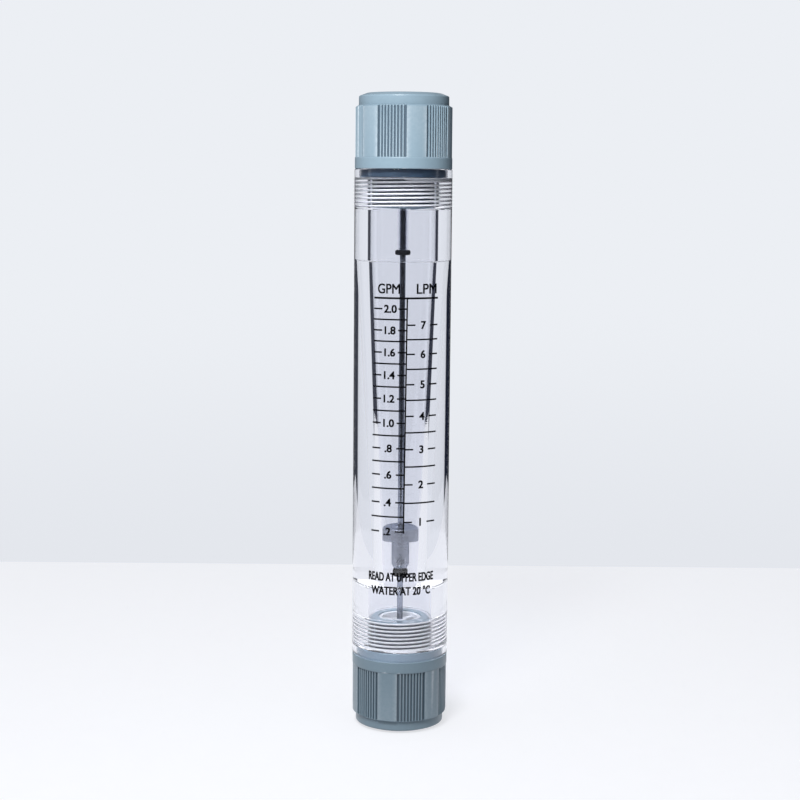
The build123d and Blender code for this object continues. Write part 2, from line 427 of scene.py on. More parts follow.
RING_SEAM = 0.01
THREAD_SEAM = 0.1
THREAD_RELIEF = 0.3
FRONT_ANGLE = -90

spigot_foot = HEAD_LENGTH + COLLAR_LENGTH
spigot_shoulder = FITTING_LENGTH - SPIGOT_CHAMFER


def male_limit(radius, local):
    """Run-out of the male thread at the collar and its chamfer at the tip."""
    run_out = MALE_ROOT_RADIUS + max(0, local - spigot_foot - THREAD_RELIEF)
    tip = MALE_ROOT_RADIUS + max(0, spigot_shoulder - local)
    return min(radius, run_out, tip)


def fitting(end, panel_azimuth, outer_end, inward, line_height):
    """One fitting, with its outer end at a height and its spigot pointing up (+1) or down (-1)."""

    def world(rows):
        return [(radius, outer_end + inward * local) for radius, local in rows]

    def section(*points):
        return world(rounded(points, closed=False))

    socket_and_lip = section(
        (FLOW_RADIUS, (FITTING_LENGTH + SOCKET_DEPTH) / 2),
        (FLOW_RADIUS, SOCKET_DEPTH),
        (SOCKET_RADIUS, SOCKET_DEPTH),
        (SOCKET_RADIUS, SOCKET_CHAMFER),
        (SOCKET_RADIUS + SOCKET_CHAMFER, 0),
        (LIP_RADIUS - END_CHAMFER[0], 0, 0.4),
        (LIP_RADIUS, END_CHAMFER[1], 0.45),
        (LIP_RADIUS, LIP_LENGTH - LIP_SEAM),
    )
    ring_edge = section(
        (RING_RADIUS - RING_EDGE, BAND_TOP),
        (RING_RADIUS, BAND_TOP, 0.4),
        (RING_RADIUS, BAND_TOP + RING_EDGE),
    )[1:-1]
    collar = section(
        (RING_RADIUS, BAND_TOP + RING_EDGE),
        (RING_RADIUS, HEAD_LENGTH, 0.15),
        (COLLAR_RADIUS, HEAD_LENGTH, 0.05),
        (COLLAR_RADIUS, spigot_foot, 0.2),
        (GROOVE_RADIUS, spigot_foot),
        (GROOVE_RADIUS, spigot_foot - GROOVE_DEPTH),
        (MALE_ROOT_RADIUS, spigot_foot - GROOVE_DEPTH),
        (MALE_ROOT_RADIUS, spigot_foot - THREAD_SEAM),
    )
    tip = section(
        (MALE_ROOT_RADIUS, spigot_shoulder),
        (SPIGOT_END_RADIUS, FITTING_LENGTH, 0.25),
        (HOLDER_SEAT_RADIUS, FITTING_LENGTH),
        (HOLDER_SEAT_RADIUS, FITTING_LENGTH - HOLDER_SEAT_DEPTH),
        (FLOW_RADIUS, FITTING_LENGTH - HOLDER_SEAT_DEPTH),
        (FLOW_RADIUS, (FITTING_LENGTH + SOCKET_DEPTH) / 2),
    )
    thread_ends = sorted(outer_end + inward * local for local in (spigot_foot, spigot_shoulder))

    def limit(radius, height):
        return male_limit(radius, (height - outer_end) * inward)

    def rows_at(angle, band_radius):
        band = []
        for share in BAND_FOOT_STEPS:
            cone = LIP_RADIUS + share * (PAD_RADIUS - LIP_RADIUS)
            band.append((min(cone, band_radius), LIP_LENGTH + share * PAD_END_CHAMFER))
        band.append((band_radius, BAND_TOP - BAND_SEAM))
        band.append((band_radius + RING_SEAM, BAND_TOP))
        thread = thread_rows(angle / 360, thread_ends[0], thread_ends[1], line_height,
                             MALE_ROOT_RADIUS, MALE_CREST_RADIUS, limit)
        thread = thread if inward > 0 else thread[::-1]
        ring = [(max(radius, band_radius), height) for radius, height in ring_edge]
        return socket_and_lip + world(band) + ring + collar + thread + tip

    columns = []
    for index in range(PAD_COUNT):
        for angle, radius in band_sector:
            columns.append((FRONT_ANGLE + panel_azimuth + index * sector + angle, radius))
    columns.append((columns[0][0] + 360, columns[0][1]))
    grid = [wrapped(rows_at(angle, band_radius), angle) for angle, band_radius in columns]
    made = join_columns(grid)
    piece(end + "_screwed_fitting", made, end + "_connector", [end + "_fitting"])


fitting("lower", LOWER_PANEL_AZIMUTH, 0, 1, LOWER_LINE_HEIGHT)
fitting("upper", UPPER_PANEL_AZIMUTH, total_height, -1, UPPER_LINE_HEIGHT)

# %% [markdown]
# ## Seals
#
# A rubber ring lies in the groove of each collar and is pressed against the step in the tube. A torus
# primitive would do for one alone, but turning a circle uses the helper that is already here and keeps
# the ring's place in the same list of sizes.

# %% Seals
SEAL_RADIUS = 14.43
SEAL_SECTION = 0.93
SEAL_SIDES = 24


def circle_section(middle_radius, middle_height, radius, sides):
    """(radius, height) points of a round section."""
    turns = [2 * pi * side / sides for side in range(sides)]
    return [(middle_radius + radius * cos(turn), middle_height + radius * sin(turn)) for turn in turns]


for end in ("lower", "upper"):
    middle = sum(heights(end + "_o_ring")) / 2
    seal = turned(circle_section(SEAL_RADIUS, middle, SEAL_SECTION, SEAL_SIDES), column_count=160)
    piece(end + "_rubber_seal", seal, end + "_seal", [end + "_o_ring"])

# %% [markdown]
# ## Rod, stop rings, sleeve and float
#
# The rod is drawn steel wire. Two short rubber rings grip it and stop the float, and a clear sleeve keeps
# the upper ring in its place. The float is turned metal: a disc whose top edge is read against the scale,
# on a stem that keeps it upright. Each is an outline with its own corner radii: a large one on moulded
# rubber, a small one on machined metal.

# %% Rod, stop rings, sleeve and float
ROD_RADIUS = 1.15
ROD_END_CHAMFER = 0.25
STOP_INNER = 1.17
STOP_OUTER = 3.02
STOP_ROUND = 1.125
SLEEVE_INNER = 1.25
SLEEVE_OUTER = 2.05
FLOAT_BORE = 1.25
FLOAT_DISC_RADIUS = 7.2
FLOAT_DISC_HEIGHT = 4.8
FLOAT_STEM_RADIUS = 3.5
FLOAT_FOOT_CHAMFER = (1.1, 2.0)
FLOAT_SINK = (2.0, 0.75)

foot, top = heights("guide_rod")
rod_outline = rounded([
    (0, foot), (ROD_RADIUS - ROD_END_CHAMFER, foot), (ROD_RADIUS, foot + ROD_END_CHAMFER),
    (ROD_RADIUS, top - ROD_END_CHAMFER), (ROD_RADIUS - ROD_END_CHAMFER, top), (0, top),
], closed=False)
piece("steel_rod", turned(rod_outline, column_count=48), "meter_body", ["guide_rod"])

for end in ("lower", "upper"):
    foot, top = heights(end + "_stop_ring")
    section = rounded([(STOP_INNER, foot, 0.3), (STOP_OUTER, foot, STOP_ROUND),
                       (STOP_OUTER, top, STOP_ROUND), (STOP_INNER, top, 0.3)])
    ring = turned(section, column_count=64)
    piece(end + "_rubber_stop", ring, "meter_body", [end + "_stop_ring"])

foot, top = heights("rod_sleeve")
sleeve_outline = rounded([(SLEEVE_INNER, foot), (SLEEVE_OUTER, foot),
                          (SLEEVE_OUTER, top), (SLEEVE_INNER, top)])
sleeve = turned(sleeve_outline, column_count=96)
piece("clear_rod_sleeve", sleeve, "meter_body", ["rod_sleeve"])

foot, top = heights("float")
disc_foot = top - FLOAT_DISC_HEIGHT
float_outline = rounded([
    (FLOAT_BORE, foot),
    (FLOAT_STEM_RADIUS - FLOAT_FOOT_CHAMFER[0], foot),
    (FLOAT_STEM_RADIUS, foot + FLOAT_FOOT_CHAMFER[1], 0.3),
    (FLOAT_STEM_RADIUS, disc_foot),
    (FLOAT_DISC_RADIUS, disc_foot, 0.3),
    (FLOAT_DISC_RADIUS, top, 0.22),
    (FLOAT_SINK[0], top, 0.2),
    (FLOAT_BORE, top - FLOAT_SINK[1]),
])
piece("turned_float", turned(float_outline), "float_body", ["float"])

# %% [markdown]
# ## Rod holders
#
# A white plastic spider is pressed into the tip of each fitting. Its ring is seen from above through the
# lower end of the tube. Ring and hub are turned, and three bevelled spokes are added to the same mesh.
# They run into the ring and the hub, as the strokes of a moulding do, so no boolean is needed.

# %% Rod holders
HOLDER_OUTER = 8.45
HOLDER_INNER = 6.85
HOLDER_RING_HEIGHT = 2.6
WEB_HEIGHT = 1.5
HUB_RADIUS = 2.6
HUB_DROP = 1.5
SPOKE_COUNT = 3
SPOKE_WIDTH = 1.7
ROD_HOLE_RADIUS = 1.2
ROD_HOLE_DEPTH = 2.2
HOLDER_FOOT = 41.15
SPOKE_START = ROD_HOLE_RADIUS + 0.4
SPOKE_END = HOLDER_INNER + 0.6
SPOKE_INSET = 0.03
SPOKE_BEVEL = 0.2


def add_spoke(made, angle, low, high):
    """A bevelled bar from the hub to the ring, between two heights in millimetres."""
    size = Vector((SPOKE_END - SPOKE_START, SPOKE_WIDTH, high - low))
    middle = Vector(((SPOKE_START + SPOKE_END) / 2, 0, (low + high) / 2))
    place = Matrix.Rotation(radians(angle), 4, "Z") @ Matrix.Translation(middle * MM)
    bar = bmesh.ops.create_cube(made, size=1.0)["verts"]
    bmesh.ops.scale(made, vec=size * MM, verts=bar)
    edges = list({edge for vert in bar for edge in vert.link_edges})
    bevel = bmesh.ops.bevel(made, geom=edges, offset=SPOKE_BEVEL * MM, segments=2, affect="EDGES",
                            profile=0.5)
    kept = {vert for vert in bar if vert.is_valid}
    bevelled = {vert for face in bevel["faces"] for vert in face.verts}
    bmesh.ops.transform(made, matrix=place, verts=list(kept | bevelled))


def add_mesh(made, extra):
    """Adds one bmesh to another and frees it."""
    mesh = bpy.data.meshes.new("extra")
    extra.to_mesh(mesh)
    extra.free()
    made.from_mesh(mesh)
    bpy.data.meshes.remove(mesh)


def rod_holder(end, panel_azimuth, outer_end, inward):
    """One spider, with heights counted from the fitting's outer end."""

    def height(local):
        return outer_end + inward * local

    made = bmesh.new()
    ring = rounded([(HOLDER_INNER, height(HOLDER_FOOT)), (HOLDER_OUTER, height(HOLDER_FOOT)),
                    (HOLDER_OUTER, height(HOLDER_FOOT + HOLDER_RING_HEIGHT), 0.35),
                    (HOLDER_INNER, height(HOLDER_FOOT + HOLDER_RING_HEIGHT), 0.35)])
    hub_top = HOLDER_FOOT + WEB_HEIGHT
    hub = rounded([(0, height(HOLDER_FOOT - HUB_DROP)), (HUB_RADIUS, height(HOLDER_FOOT - HUB_DROP)),
                   (HUB_RADIUS, height(hub_top), 0.25), (ROD_HOLE_RADIUS, height(hub_top)),
                   (ROD_HOLE_RADIUS, height(hub_top - ROD_HOLE_DEPTH)),
                   (0, height(hub_top - ROD_HOLE_DEPTH))], closed=False)
    add_mesh(made, turned(ring, column_count=96))
    add_mesh(made, turned(hub, column_count=64))
    ends = sorted((height(HOLDER_FOOT), height(hub_top)))
    for spoke in range(SPOKE_COUNT):
        angle = FRONT_ANGLE + panel_azimuth + inward * spoke * 360 / SPOKE_COUNT
        add_spoke(made, angle, ends[0] + SPOKE_INSET, ends[1] - SPOKE_INSET)
    bmesh.ops.recalc_face_normals(made, faces=made.faces)
    piece(end + "_rod_holder", made, end + "_connector", [end + "_holder"])


rod_holder("lower", LOWER_PANEL_AZIMUTH, 0, 1)
rod_holder("upper", UPPER_PANEL_AZIMUTH, total_height, -1)

# %% [markdown]
# ## Printed scale
#
# The scale is screen-printed in black on the outside of the tube: gallons a minute on the left, litres a
# minute on the right. A real print is a few hundredths of a millimetre thick, so each line is a thin
# curved strip that lies just on the wall. The heights follow from the taper: the open ring between float
# and bore grows in step with the flow. The middle line leans a little, as it does on the real print.

# %% Scale lines
LITRES_PER_GALLON = 3.785
FULL_FLOW = 7.57
FULL_FLOW_BORE = 11.37
READING_EDGE = 7.284
INK_LIFT = 0.012
INK_THICKNESS = 0.03
INK_STROKE = 0.6
HEADING_STROKE = 0.75
SCALE_AZIMUTH = 4.3
SCALE_LEAN = 0.485
HALF_SPAN = 40.0
GALLON_GAP = (10.0, 29.2)
LITRE_GAP = (10.0, 28.5)
HEADING_RISE = 4.1
DIVIDER_DROP = 0.6
STRIP_STEP = 1.5

scale_middle = (bore_foot + bore_top) / 2


def reading_height(litres):
    """Height of the float's top edge at a flow in litres a minute."""
    taper = (BORE_TOP_RADIUS - BORE_FOOT_RADIUS) / (bore_top - bore_foot)
    bore = sqrt(READING_EDGE**2 + litres / FULL_FLOW * (FULL_FLOW_BORE**2 - READING_EDGE**2))
    return bore_foot + (bore - BORE_FOOT_RADIUS) / taper


def divider_azimuth(height):
    """Azimuth of the leaning middle line at a height."""
    return SCALE_AZIMUTH + degrees(tan(radians(SCALE_LEAN)) * (height - scale_middle) / TUBE_RADIUS)


def on_wall(azimuth, height, lift):
    """A point just outside the tube's wall, with azimuth 0 at the front."""
    reach = TUBE_RADIUS + INK_LIFT + lift
    turn = radians(azimuth)
    return Vector((reach * sin(turn), -reach * cos(turn), height)) * MM


def add_strip(made, pairs):
    """A thin strip of ink on the wall between pairs of (azimuth, height) points."""
    rings = []
    for first, second in pairs:
        corners = ((*first, 0), (*second, 0), (*second, INK_THICKNESS), (*first, INK_THICKNESS))
        rings.append([made.verts.new(on_wall(*corner)) for corner in corners])
    for left, right in zip(rings, rings[1:]):
        for corner in range(4):
            after = (corner + 1) % 4
            made.faces.new((left[corner], left[after], right[after], right[corner]))
    made.faces.new(rings[0])
    made.faces.new(rings[-1][::-1])


def add_line(made, height, start, end, stroke=INK_STROKE):
    """A line round the tube between two azimuths counted from the middle line."""
    steps = max(2, int(abs(end - start) / STRIP_STEP))
    middle = divider_azimuth(height)
    turns = [middle + start + (end - start) * step / steps for step in range(steps + 1)]
    add_strip(made, [((turn, height - stroke / 2), (turn, height + stroke / 2)) for turn in turns])


def add_divider(made, low, high):
    """The upright middle line, as a narrow leaning strip."""
    half = degrees(INK_STROKE / 2 / TUBE_RADIUS)
    ends = [(divider_azimuth(height), height) for height in (low, high)]
    add_strip(made, [((middle - half, height), (middle + half, height)) for middle, height in ends])


def add_graduation(made, litres, side, gap, numbered):
    """The line of a flow on the left (-1) or right (1), with a gap in it where a number stands."""
    spans = ((0, gap[0]), (gap[1], HALF_SPAN)) if numbered else ((0, HALF_SPAN),)
    for span in spans:
        start, end = sorted(side * reach for reach in span)
        add_line(made, reading_height(litres), start, end)


print_mesh = bmesh.new()
for tenths in range(2, 21):
    add_graduation(print_mesh, tenths / 10 * LITRES_PER_GALLON, -1, GALLON_GAP, tenths % 2 == 0)
for halves in range(2, 15):
    add_graduation(print_mesh, halves / 2, 1, LITRE_GAP, halves % 2 == 0)
heading_height = reading_height(2.0 * LITRES_PER_GALLON) + HEADING_RISE
lowest_height = reading_height(0.2 * LITRES_PER_GALLON) - DIVIDER_DROP
add_line(print_mesh, heading_height, -HALF_SPAN, HALF_SPAN, HEADING_STROKE)
add_divider(print_mesh, lowest_height, heading_height)
print("scale from", round(lowest_height, 1), "to", round(heading_height, 1), "mm")

# %% [markdown]
# Numbers and units are Blender text objects turned into meshes. A flat letter can't simply be bent round
# the tube, because its long faces would cut into the wall, so it is first sliced every half millimetre.
# Then it gets its thickness, and each point's distance along the line becomes an azimuth.

# %% Numbers and words
DIGIT_HEIGHT = 3.0
HEADING_HEIGHT = 3.7
WORDS_HEIGHT = 3.4
SLICE = 0.5
GALLON_NUMBER_AZIMUTH = -19.5
LITRE_NUMBER_AZIMUTH = 20.0
GALLON_HEADING_AZIMUTH = -21.8
LITRE_HEADING_AZIMUTH = 24.3
HEADING_LETTERS_RISE = 3.6
BOLD_SHIFTS = [(across, up) for across in (-0.1, 0.1) for up in (-0.07, 0.07)]
HEADING_WIDTH = 8.7
LETTER_WEIGHT = 0.012
WORD_LINES = (("READ AT UPPER EDGE", 63.3, 27.2, 1.2), ("WATER AT 20 °C", 57.9, 24.4, 1.0))


def lettering(text, height, weight, width=None):
    """A flat mesh of the text, centred, with capitals of the given height in millimetres."""
    curve = bpy.data.curves.new("lettering", "FONT")
    curve.body = text
    curve.align_x = "CENTER"
    curve.size = 1.0
    curve.offset = weight
    curve.resolution_u = 6
    holder = placed("lettering", curve)
    bpy.context.view_layer.update()
    graph = bpy.context.evaluated_depsgraph_get()
    mesh = bpy.data.meshes.new_from_object(holder.evaluated_get(graph))
    bpy.data.objects.remove(holder)
    bpy.data.curves.remove(curve)
    flat = bmesh.new()
    flat.from_mesh(mesh)
    bpy.data.meshes.remove(mesh)
    xs = [vert.co.x for vert in flat.verts]
    ys = [vert.co.y for vert in flat.verts]
    tall = height / (max(ys) - min(ys))
    wide = tall if width is None else width / (max(xs) - min(xs))
    middle = Vector(((max(xs) + min(xs)) / 2, (max(ys) + min(ys)) / 2, 0))
    for vert in flat.verts:
        vert.co = Vector(((vert.co.x - middle.x) * wide, (vert.co.y - middle.y) * tall, 0))
    return flat


def add_text(made, text, azimuth, height, tall, weight=LETTER_WEIGHT, width=None):
    """Text wrapped on the wall round an azimuth, standing at a height."""
    flat = lettering(text, tall, weight, width)
    reach = max(abs(vert.co.x) for vert in flat.verts)
    cut = -reach
    while cut < reach:
        cut += SLICE
        everything = flat.verts[:] + flat.edges[:] + flat.faces[:]
        bmesh.ops.bisect_plane(flat, geom=everything, plane_co=(cut, 0, 0), plane_no=(1, 0, 0))
    raised = bmesh.ops.extrude_face_region(flat, geom=flat.faces[:])["geom"]
    for item in raised:
        if isinstance(item, bmesh.types.BMVert):
            item.co.z = INK_THICKNESS
    bmesh.ops.recalc_face_normals(flat, faces=flat.faces)
    for shift_x, shift_y in BOLD_SHIFTS:
        copy = flat.copy()
        for vert in copy.verts:
            turn = azimuth + degrees((vert.co.x + shift_x) / TUBE_RADIUS)
            vert.co = on_wall(turn, height + vert.co.y + shift_y, vert.co.z)
        add_mesh(made, copy)
    flat.free()


for tenths in range(2, 21, 2):
    height = reading_height(tenths / 10 * LITRES_PER_GALLON)
    label = f"{tenths / 10:.1f}".lstrip("0")
    add_text(print_mesh, label, divider_azimuth(height) + GALLON_NUMBER_AZIMUTH, height, DIGIT_HEIGHT)
for litres in range(1, 8):
    height = reading_height(litres)
    add_text(print_mesh, str(litres), divider_azimuth(height) + LITRE_NUMBER_AZIMUTH, height, DIGIT_HEIGHT)
heading_azimuth = divider_azimuth(heading_height)
letters_height = heading_height + HEADING_LETTERS_RISE
for unit, azimuth in (("GPM", GALLON_HEADING_AZIMUTH), ("LPM", LITRE_HEADING_AZIMUTH)):
    add_text(print_mesh, unit, heading_azimuth + azimuth, letters_height, HEADING_HEIGHT,
             weight=0.0, width=HEADING_WIDTH)
for words, height, width, azimuth in WORD_LINES:
    add_text(print_mesh, words, azimuth, height, WORDS_HEIGHT, width=width)
piece("printed_scale", print_mesh, "meter_body", ["scale_graduations"])

# %% [markdown]
# ## Shared effects
#
# Real surfaces are never one flat value. Five effects are used by several materials, so each is built
# once as a node group with named inputs and outputs. Grain is the fine texture of a mould or of rubber.
# Tool lines run round a turned piece or along a drawn one. Handling marks are wide, faint patches where a
# surface is a little duller. Edge wear lightens the corners that hands and boxes rub, and this lightening
# also serves as a painted highlight on the rounded edges; the same group paints shade into the hollows.
# Shaded places are masks of painted shade for where a plastic lies in the dark inside the tube. The nodes
# of a group are mostly arithmetic, so a few small helpers come first, and each gives the socket that the
# next one needs.

# %% Node helpers


def set_inputs(tree, node, inputs):
    """Links each input that is given a socket, and sets the others. Keys are names or numbers."""
    for name, value in inputs.items():
        if isinstance(value, bpy.types.NodeSocket):
            tree.links.new(value, node.inputs[name])
        else:
            node.inputs[name].default_value = value


def add_node(tree, kind, inputs=None, **settings):
    """Adds a node with its settings and inputs."""
    made = tree.nodes.new(kind)
    for name, value in settings.items():
        setattr(made, name, value)
    set_inputs(tree, made, inputs or {})
    return made


def calculate(tree, operation, first, second=0.0, third=0.5):
    """The result of a math node."""
    inputs = {0: first, 1: second, 2: third}
    return add_node(tree, "ShaderNodeMath", inputs, operation=operation).outputs[0]


def product(tree, first, *others):
    """All the values multiplied."""
    for value in others:
        first = calculate(tree, "MULTIPLY", first, value)
    return first


def blend(tree, mask, first, second):
    """A value between two, chosen by a mask."""
    return add_node(tree, "ShaderNodeMix", {0: mask, 2: first, 3: second}).outputs[0]


def ramp(tree, value, start, end, style="LINEAR"):
    """0 at start and 1 at end, and level beyond them. Start may be the larger of the two."""
    inputs = {"Value": value, "From Min": start, "From Max": end}
    return add_node(tree, "ShaderNodeMapRange", inputs, interpolation_type=style).outputs[0]


def noise(tree, dimensions="3D", **inputs):
    """The value of a noise texture, with its inputs by name."""
    return add_node(tree, "ShaderNodeTexNoise", inputs, noise_dimensions=dimensions).outputs[0]


def object_place(tree):
    """Where a point lies on the object, in metres."""
    return add_node(tree, "ShaderNodeTexCoord").outputs["Object"]


def from_axis(tree):
    """The x, y and height of a point on the object, and its distance from the axis."""
    x, y, height = add_node(tree, "ShaderNodeSeparateXYZ", {0: object_place(tree)}).outputs
    flat = add_node(tree, "ShaderNodeCombineXYZ", {0: x, 1: y})
    length = add_node(tree, "ShaderNodeVectorMath", {0: flat.outputs[0]}, operation="LENGTH")
    return x, y, height, length.outputs["Value"]


def new_group(name, inputs):
    """A shader group with float inputs, and the sockets that give their values."""
    group = bpy.data.node_groups.new(name, "ShaderNodeTree")
    for label, value in inputs.items():
        socket = group.interface.new_socket(name=label, in_out="INPUT", socket_type="NodeSocketFloat")
        socket.default_value = value
    return group, group.nodes.new("NodeGroupInput").outputs


def finish_group(group, results):
    """Gives a group its named outputs."""
    for label in results:
        group.interface.new_socket(name=label, in_out="OUTPUT", socket_type="NodeSocketFloat")
    add_node(group, "NodeGroupOutput", results)
    print("group", group.name, "puts out", list(results))
    return group


# %% [markdown]
# Each group reads the point's place on the object, so a pattern stays with its piece when the piece
# moves, and sizes are in metres. A noise texture is multiplied or added to a coarser one, because a
# single one looks too regular.

# %% Grain, tool lines, handling marks, and edge wear with painted highlight and shade
RUBBED_AND_HIGHLIT_CORNERS = (0.535, 0.6)
SHADED_HOLLOW_CORNERS = (0.5, 0.42)
COARSE_GRAIN = 0.11
WIDE_LINES = 0.15
PATCH_LIMITS = (0.4, 0.7)


def grain_group():
    """Fine even grain: a height for bump and a tone for colour."""
    group, given = new_group("Fine grain", {"Grains per metre": 2500.0, "Detail": 3.0})
    place = object_place(group)
    size = given["Grains per metre"]
    fine = noise(group, Vector=place, Scale=size, Detail=given["Detail"], Roughness=0.6)
    coarse = noise(group, Vector=place, Scale=product(group, size, COARSE_GRAIN), Detail=2.0)
    return finish_group(group, {"Height": fine, "Tone": product(group, fine, coarse, 2.0)})


def tool_line_group():
    """Lines left by a cutting tool or a die, round the axis or along it."""
    group, given = new_group("Tool lines", {"Lines per metre": 9000.0, "Along axis": 0.0})
    x, y, height, radius = from_axis(group)
    around = calculate(group, "ADD", radius, height)
    along = product(group, calculate(group, "ARCTAN2", y, x), MM)
    scaled = product(group, blend(group, given["Along axis"], around, along), given["Lines per metre"])
    lines = noise(group, "1D", W=scaled, Scale=1.0, Detail=2.0)
    wide = noise(group, "1D", W=scaled, Scale=WIDE_LINES, Detail=1.0)
    both = calculate(group, "ADD", lines, wide)
    return finish_group(group, {"Height": lines, "Tone": product(group, both, 0.5)})


def handling_group():
    """Wide faint patches of handling, as a roughness between two values."""
    group, given = new_group("Handling marks", {
        "Patches per metre": 60.0, "Clean roughness": 0.3, "Dull roughness": 0.4})
    place = object_place(group)
    patches = noise(group, Vector=place, Scale=given["Patches per metre"], Detail=4.0, Distortion=0.6)
    mask = ramp(group, patches, *PATCH_LIMITS)
    rough = blend(group, mask, given["Clean roughness"], given["Dull roughness"])
    return finish_group(group, {"Roughness": rough})


def edge_group():
    """Rubbed corners, lightened as wear and as a painted highlight, broken up by noise so that they are
    uneven, and painted shade in the hollows.
    """
    group, given = new_group("Edge wear and painted light", {"Amount": 0.5, "Hollow shade": 0.5, "Chips per metre": 700.0})
    edges = add_node(group, "ShaderNodeNewGeometry").outputs["Pointiness"]
    chips = noise(group, Vector=object_place(group), Scale=given["Chips per metre"], Detail=3.0)
    # Rubbed corners: lighter as wear and as a painted highlight on the rounded edges.
    rubbed_and_highlit = product(group, ramp(group, edges, *RUBBED_AND_HIGHLIT_CORNERS), chips, given["Amount"])
    # Hollows: painted shade in the creases and grooves.
    hollow_shade = product(group, ramp(group, edges, *SHADED_HOLLOW_CORNERS), given["Hollow shade"])
    return finish_group(group, {"Rubbed and highlit": rubbed_and_highlit, "Shaded hollows": hollow_shade})


grain = grain_group()
tool_lines = tool_line_group()
handling = handling_group()
edge_wear_and_light = edge_group()

# %% [markdown]
# The last group works by place instead of by noise, and marks where painted shade goes. A Compare node
# gives 1 within a distance of a middle value, so one node picks a length of the meter and another picks a
# shell between two radii. Lengths here are in metres, as Object coordinates are: the middle and the half of
# each screwed length, and of the collar under the upper fitting.

# %% Shaded places
THREAD_LENGTHS = ((0.0398, 0.0073), (0.213, 0.0085))
SPIGOT_RADII = (0.0120, 0.0127)
UPPER_COLLAR = (0.2194, 0.0019)
COLLAR_RADII = (0.0168, 0.01725)


def shell(tree, level, radius, radii):
    """The part of a level that lies between two radii."""
    middle = (radii[0] + radii[1]) / 2
    return product(tree, level, calculate(tree, "COMPARE", radius, middle, radii[1] - middle))


def screwed_level(tree, height):
    """1 at the heights of the two screwed lengths."""
    lengths = [calculate(tree, "COMPARE", height, middle, half) for middle, half in THREAD_LENGTHS]
    return calculate(tree, "MAXIMUM", *lengths)


def shaded_group():
    """Masks of painted shade: the spigot inside the screwed length and the upper collar under the ring."""
    group = new_group("Shaded places", {})[0]
    height, radius = from_axis(group)[2:]
    collar = calculate(group, "COMPARE", height, *UPPER_COLLAR)
    return finish_group(group, {
        "Shaded spigot": shell(group, screwed_level(group, height), radius, SPIGOT_RADII),
        "Shaded collar": shell(group, collar, radius, COLLAR_RADII)})


shaded_places = shaded_group()

# %% [markdown]
# ## Materials
#
# Each finish is one Principled shader with its own plain values, and the groups change only colour,
# roughness and the height behind a bump. Colours are written as they look on a screen and turned into
# the linear values that the shader wants.

# %% Material helpers


def linear(red, green, blue):
    """A linear colour with alpha from 0 to 255 screen values."""
    values = []
    for part in (red, green, blue):
        share = part / 255
        values.append(share / 12.92 if share <= 0.04045 else ((share + 0.055) / 1.055) ** 2.4)
    return (*values, 1.0)


def new_material(name):
    """A material, its nodes and its Principled shader."""
    material = bpy.data.materials.new(name)
    material.use_nodes = True
    return material, material.node_tree, material.node_tree.nodes["Principled BSDF"]


def use_group(tree, group, inputs=None):
    """Places a group in a material and gives its outputs."""
    return add_node(tree, "ShaderNodeGroup", inputs, node_tree=group).outputs


def handled(tree, patches_per_metre, clean, dull):
    """A roughness that is clean in some patches and dull in others."""
    inputs = {"Patches per metre": patches_per_metre, "Clean roughness": clean, "Dull roughness": dull}
    return use_group(tree, handling, inputs)["Roughness"]


def two_tones(tree, mask, first, second):
    """A colour between two, chosen by a mask."""
    return add_node(tree, "ShaderNodeMix", {0: mask, 6: first, 7: second}, data_type="RGBA").outputs[2]


def bumped(tree, height, strength, depth=0.02 * MM):
    """A normal that is bent by a height."""
    inputs = {"Height": height, "Strength": strength, "Distance": depth}
    return add_node(tree, "ShaderNodeBump", inputs).outputs[0]


def dress(material, *names):
    """Gives the named objects one material."""
    for name in names:
        slots = bpy.data.objects[name].data.materials
        slots.clear()
        slots.append(material)
        print(name, "is made of", material.name)


print("middle grey is", round(linear(128, 128, 128)[0], 3), "in linear light")

# %% [markdown]
# Acrylic is clear, a little bluish in the thick wall, and bends light by 1.49. A clear solid would block
# a lamp's light in Cycles, and the inside would go dark, so shadow rays pass through a Transparent shader
# instead. The Light Path node makes that choice. The tap leaves the flanks of the thread frosted, and they
# are mixed with a white Diffuse shader: that gives the white bands between the dark, still clear crests.

# %% Clear plastic
ACRYLIC_TINT = linear(246, 247, 252)
SLEEVE_TINT = linear(242, 244, 250)
SHADE_TINT = linear(110, 115, 130)
FROST_COLOUR = linear(246, 248, 252)
FROST_FROM_BEHIND = 0.08
TAPPED_RADII = (0.01294, 0.0142)
SHADED_RADII = (0.0, 0.0176)


def mixed(tree, mask, first, second):
    """A node that shows the second shader where the mask is 1."""
    return add_node(tree, "ShaderNodeMixShader", {0: mask, 1: first.outputs[0], 2: second.outputs[0]})


def clear_plastic(name, tint, index, dull, line_strength, frost):
    """Clear plastic that lets the lamps through, less so round the thread, whose flanks are frosted."""
    material, tree, shader = new_material(name)
    lines = use_group(tree, tool_lines, {"Lines per metre": 2200.0})
    set_inputs(tree, shader, {
        "Base Color": tint,
        "IOR": index,
        "Transmission Weight": 1.0,
        "Roughness": handled(tree, patches_per_metre=45.0, clean=0.0, dull=dull),
        "Normal": bumped(tree, lines["Height"], line_strength),
    })
    height, radius = from_axis(tree)[2:]
    level = screwed_level(tree, height)
    shade = two_tones(tree, shell(tree, level, radius, SHADED_RADII), tint, SHADE_TINT)
    through = add_node(tree, "ShaderNodeBsdfTransparent", {"Color": shade})
    front = add_node(tree, "ShaderNodeBsdfDiffuse", {"Color": FROST_COLOUR})
    back = add_node(tree, "ShaderNodeBsdfTranslucent", {"Color": FROST_COLOUR})
    frosted = mixed(tree, FROST_FROM_BEHIND, front, back)
    body = mixed(tree, product(tree, shell(tree, level, radius, TAPPED_RADII), frost), shader, frosted)
    path = add_node(tree, "ShaderNodeLightPath")
    choice = mixed(tree, path.outputs["Is Shadow Ray"], body, through)
    tree.links.new(choice.outputs[0], tree.nodes["Material Output"].inputs["Surface"])
    return material


